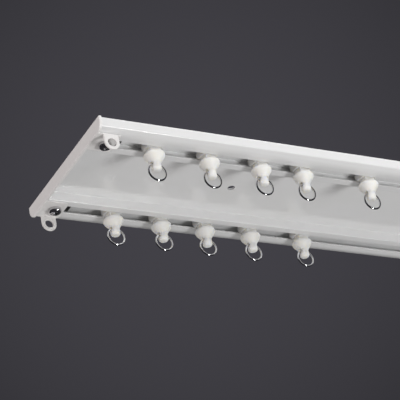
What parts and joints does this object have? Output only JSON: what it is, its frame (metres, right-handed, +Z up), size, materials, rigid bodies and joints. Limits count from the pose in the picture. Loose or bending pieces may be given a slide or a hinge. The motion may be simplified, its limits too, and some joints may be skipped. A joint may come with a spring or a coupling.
{
  "type": "double curtain track",
  "caption": "Slim white double ceiling curtain track: an extrusion with two slotted channels, screwed end caps with hanging eyelets, and ringed sliding gliders.",
  "frame": {"origin": "centre of the flat face that lies against the ceiling", "axes": "+X along the track, from the end seen in the picture to the far end; +Y across it, from the near channel to the far channel; +Z up, into the ceiling"},
  "size_m": [0.4, 0.1026, 0.0304],
  "materials": {
    "white_paint": "gloss",
    "cap_plastic": "satin",
    "nylon": "satin",
    "ring_chrome": "polished",
    "screw_chrome": "polished",
    "black_steel": "dull black oxide"
  },
  "bodies": {
    "track": {"track_profile": "white_paint", "end_cap_left": "cap_plastic", "end_cap_right": "cap_plastic", "cap_screws": "screw_chrome", "clamp_plates": "black_steel"},
    "glider_near_1": {"glider_near_1": "nylon"},
    "ring_near_1": {"ring_near_1": "ring_chrome"},
    "glider_near_2": {"glider_near_2": "nylon"},
    "ring_near_2": {"ring_near_2": "ring_chrome"},
    "glider_near_3": {"glider_near_3": "nylon"},
    "ring_near_3": {"ring_near_3": "ring_chrome"},
    "glider_near_4": {"glider_near_4": "nylon"},
    "ring_near_4": {"ring_near_4": "ring_chrome"},
    "glider_near_5": {"glider_near_5": "nylon"},
    "ring_near_5": {"ring_near_5": "ring_chrome"},
    "glider_far_1": {"glider_far_1": "nylon"},
    "ring_far_1": {"ring_far_1": "ring_chrome"},
    "glider_far_2": {"glider_far_2": "nylon"},
    "ring_far_2": {"ring_far_2": "ring_chrome"},
    "glider_far_3": {"glider_far_3": "nylon"},
    "ring_far_3": {"ring_far_3": "ring_chrome"},
    "glider_far_4": {"glider_far_4": "nylon"},
    "ring_far_4": {"ring_far_4": "ring_chrome"},
    "glider_far_5": {"glider_far_5": "nylon"},
    "ring_far_5": {"ring_far_5": "ring_chrome"}
  },
  "joints": [
    {"name": "slide_near_1", "type": "slide", "parent": "track", "child": "glider_near_1", "axis": [1, 0, 0], "range_m": [-0.0162, 0.0244]},
    {"name": "slide_near_2", "type": "slide", "parent": "track", "child": "glider_near_2", "axis": [1, 0, 0], "range_m": [-0.0244, 0.0233]},
    {"name": "slide_near_3", "type": "slide", "parent": "track", "child": "glider_near_3", "axis": [1, 0, 0], "range_m": [-0.0233, 0.0173]},
    {"name": "slide_near_4", "type": "slide", "parent": "track", "child": "glider_near_4", "axis": [1, 0, 0], "range_m": [-0.0173, 0.0355]},
    {"name": "slide_near_5", "type": "slide", "parent": "track", "child": "glider_near_5", "axis": [1, 0, 0], "range_m": [-0.0355, 0.1787]},
    {"name": "slide_far_1", "type": "slide", "parent": "track", "child": "glider_far_1", "axis": [1, 0, 0], "range_m": [-0.0237, 0.0206]},
    {"name": "slide_far_2", "type": "slide", "parent": "track", "child": "glider_far_2", "axis": [1, 0, 0], "range_m": [-0.0206, 0.0186]},
    {"name": "slide_far_3", "type": "slide", "parent": "track", "child": "glider_far_3", "axis": [1, 0, 0], "range_m": [-0.0186, 0.0205]},
    {"name": "slide_far_4", "type": "slide", "parent": "track", "child": "glider_far_4", "axis": [1, 0, 0], "range_m": [-0.0205, 0.0264]},
    {"name": "slide_far_5", "type": "slide", "parent": "track", "child": "glider_far_5", "axis": [1, 0, 0], "range_m": [-0.0264, 0.1856]},
    {"name": "swing_near_1", "type": "hinge", "parent": "glider_near_1", "child": "ring_near_1", "pos_m": [-0.1581, -0.0362, -0.0188], "axis": [1, 0, 0], "range_deg": [-130, 130]},
    {"name": "swing_near_2", "type": "hinge", "parent": "glider_near_2", "child": "ring_near_2", "pos_m": [-0.1204, -0.0362, -0.0188], "axis": [1, 0, 0], "range_deg": [-130, 130]},
    {"name": "swing_near_3", "type": "hinge", "parent": "glider_near_3", "child": "ring_near_3", "pos_m": [-0.0838, -0.0362, -0.0188], "axis": [1, 0, 0], "range_deg": [-130, 130]},
    {"name": "swing_near_4", "type": "hinge", "parent": "glider_near_4", "child": "ring_near_4", "pos_m": [-0.0532, -0.0362, -0.0188], "axis": [1, 0, 0], "range_deg": [-130, 130]},
    {"name": "swing_near_5", "type": "hinge", "parent": "glider_near_5", "child": "ring_near_5", "pos_m": [-0.0044, -0.0362, -0.0188], "axis": [1, 0, 0], "range_deg": [-130, 130]},
    {"name": "swing_far_1", "type": "hinge", "parent": "glider_far_1", "child": "ring_far_1", "pos_m": [-0.1506, 0.0362, -0.0188], "axis": [1, 0, 0], "range_deg": [-130, 130]},
    {"name": "swing_far_2", "type": "hinge", "parent": "glider_far_2", "child": "ring_far_2", "pos_m": [-0.1167, 0.0362, -0.0188], "axis": [1, 0, 0], "range_deg": [-130, 130]},
    {"name": "swing_far_3", "type": "hinge", "parent": "glider_far_3", "child": "ring_far_3", "pos_m": [-0.0848, 0.0362, -0.0188], "axis": [1, 0, 0], "range_deg": [-130, 130]},
    {"name": "swing_far_4", "type": "hinge", "parent": "glider_far_4", "child": "ring_far_4", "pos_m": [-0.051, 0.0362, -0.0188], "axis": [1, 0, 0], "range_deg": [-130, 130]},
    {"name": "swing_far_5", "type": "hinge", "parent": "glider_far_5", "child": "ring_far_5", "pos_m": [-0.0113, 0.0362, -0.0188], "axis": [1, 0, 0], "range_deg": [-130, 130]}
  ]
}
